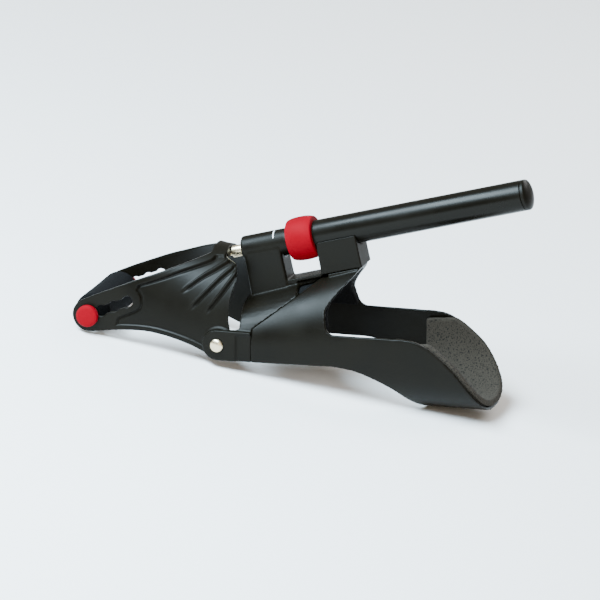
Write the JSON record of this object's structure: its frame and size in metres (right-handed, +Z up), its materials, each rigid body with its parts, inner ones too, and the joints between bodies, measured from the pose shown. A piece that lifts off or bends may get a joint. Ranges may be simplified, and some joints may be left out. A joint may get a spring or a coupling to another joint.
{
  "type": "dynamic wrist orthosis",
  "caption": "Wrist trainer with an arch and cradle for the forearm, a sprung hand lever with a foam grip and a long spring tube above.",
  "frame": {"origin": "middle of the box in plan, on the floor that the part stands on", "axes": "+X runs from the grip back towards the elbow, -Y is the side the picture shows, +Z is up"},
  "size_m": [0.3504, 0.1138, 0.2004],
  "materials": {
    "black_plastic": "moulded, satin",
    "black_steel": "black coat, satin",
    "red_plastic": "moulded, satin gloss",
    "nickel": "nickel plated",
    "dark_foam": "closed-cell foam",
    "grey_foam": "speckled closed-cell foam"
  },
  "bodies": {
    "frame": {"front_arch": "black_plastic", "arm_shell": "black_plastic", "arch_pad": "dark_foam", "cradle_pad": "grey_foam", "spring_tube": "black_steel", "tube_end_cap": "black_plastic", "near_pivot_rivet": "nickel", "far_pivot_rivet": "nickel"},
    "lever": {"hand_lever": "black_plastic", "yoke_pin": "nickel"},
    "rod": {"spring_rod": "nickel", "rod_collar": "nickel"},
    "ring": {"adjust_ring": "red_plastic"},
    "grip": {"grip_bar": "nickel", "grip_foam": "dark_foam", "near_grip_cap": "red_plastic", "far_grip_cap": "red_plastic"}
  },
  "joints": [
    {"name": "lever_swing", "type": "hinge", "parent": "frame", "child": "lever", "pos_m": [-0.049, 0, 0.01874], "axis": [0, -1, 0], "range_deg": [0, 30], "stiffness_Nm_per_rad": 4, "springref_deg": -20.05},
    {"name": "rod_pivot", "type": "hinge", "parent": "lever", "child": "rod", "pos_m": [-0.06727, 0, 0.07946], "axis": [0, -1, 0], "range_deg": [-30, 0]},
    {"name": "ring_turn", "type": "hinge", "parent": "frame", "child": "ring", "pos_m": [-0.00603, 0, 0.10789], "axis": [0.907, 0, 0.421], "continuous": true},
    {"name": "grip_shift", "type": "slide", "parent": "lever", "child": "grip", "axis": [0.8503, 0, 0.5264], "range_m": [0, 0.0351]}
  ],
  "couplings": [
    {"joint": "rod_pivot", "follows": "lever_swing", "ratio": -1}
  ]
}
